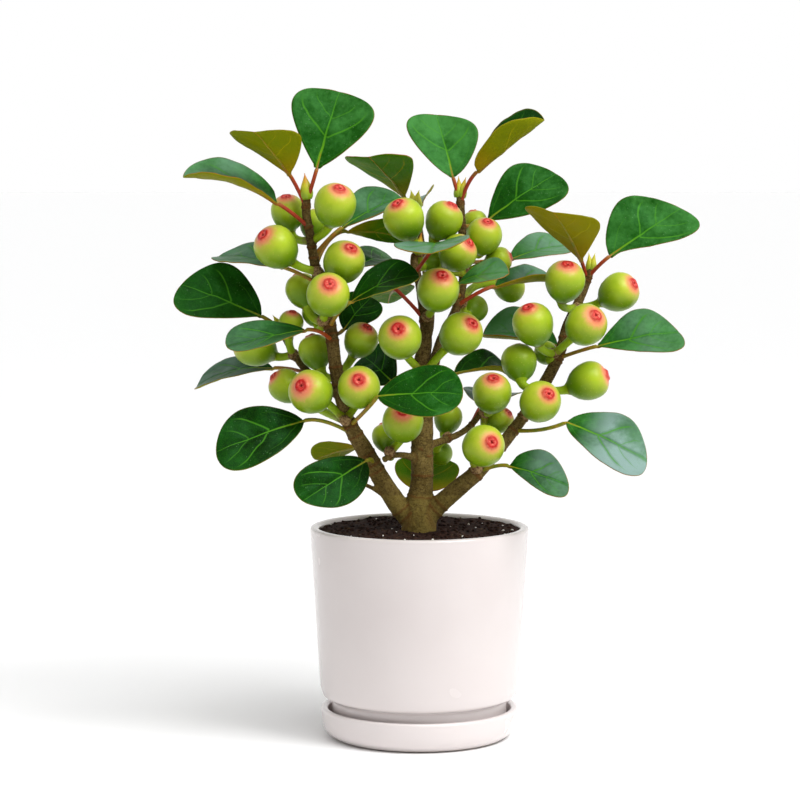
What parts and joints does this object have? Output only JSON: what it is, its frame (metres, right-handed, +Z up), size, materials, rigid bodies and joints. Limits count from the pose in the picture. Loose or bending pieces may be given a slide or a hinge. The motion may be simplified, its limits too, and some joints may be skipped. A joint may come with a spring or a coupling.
{
  "type": "mistletoe fig bonsai",
  "caption": "Small forked fig bonsai with blunt wedge-shaped leaves and round stalked figs, in a plain glazed pot on its saucer.",
  "frame": {"origin": "centre of the saucer's underside, on the surface that the plant stands on, on the pot's axis", "axes": "+Z up along the pot's axis, -Y towards the front of the plant, +X to its right as seen from the front"},
  "size_m": [0.2651, 0.1464, 0.326],
  "materials": {
    "white_glaze": "gloss",
    "potting_soil": "matte",
    "bark": "matte",
    "leaf_green": "satin",
    "leaf_olive": "satin",
    "fig_skin": "satin",
    "bud_scale": "satin",
    "perlite": "matte"
  },
  "bodies": {
    "root": {"saucer": "white_glaze", "pot": "white_glaze", "soil": "potting_soil", "stem": "bark", "leaf_left_crown": "leaf_green", "leaf_left_crown_front": "leaf_olive", "leaf_left_upper": "leaf_green", "leaf_left_behind": "leaf_green", "leaf_left_round": "leaf_green", "leaf_left_middle": "leaf_green", "leaf_left_narrow": "leaf_green", "leaf_left_low": "leaf_green", "leaf_low_front": "leaf_green", "leaf_low_behind": "leaf_olive", "leaf_low_back": "leaf_olive", "leaf_left_inner": "leaf_green", "leaf_left_inner_olive": "leaf_olive", "leaf_left_inner_back": "leaf_green", "leaf_inner_dark": "leaf_green", "leaf_inner_olive": "leaf_green", "leaf_inner_shade": "leaf_green", "leaf_inner_low": "leaf_green", "leaf_front": "leaf_green", "leaf_front_crown": "leaf_green", "leaf_back_crown": "leaf_olive", "leaf_back_edge": "leaf_green", "leaf_middle_crown": "leaf_green", "leaf_middle_crown_front": "leaf_olive", "leaf_middle_right": "leaf_green", "leaf_middle_far": "leaf_green", "leaf_centre_right": "leaf_green", "leaf_right_long": "leaf_green", "leaf_right_behind": "leaf_green", "leaf_right_shade": "leaf_green", "leaf_twig_back": "leaf_green", "leaf_right_crown": "leaf_green", "leaf_right_crown_front": "leaf_olive", "leaf_right_middle": "leaf_green", "leaf_right_low": "leaf_green", "leaf_right_lowest": "leaf_green", "figs_left_crown": "fig_skin", "figs_left_upper": "fig_skin", "figs_left_middle": "fig_skin", "figs_left_inner": "fig_skin", "figs_left_low": "fig_skin", "figs_left_twig": "fig_skin", "figs_inner_twig": "fig_skin", "figs_right_twig": "fig_skin", "figs_right_twig_end": "fig_skin", "figs_centre": "fig_skin", "figs_centre_upper": "fig_skin", "figs_centre_crown": "fig_skin", "figs_middle_crown": "fig_skin", "figs_middle_upper": "fig_skin", "figs_middle_low": "fig_skin", "figs_right_lowest": "fig_skin", "figs_right_low": "fig_skin", "figs_right_inner": "fig_skin", "figs_right_middle": "fig_skin", "figs_right_crown": "fig_skin"}
  },
  "joints": []
}
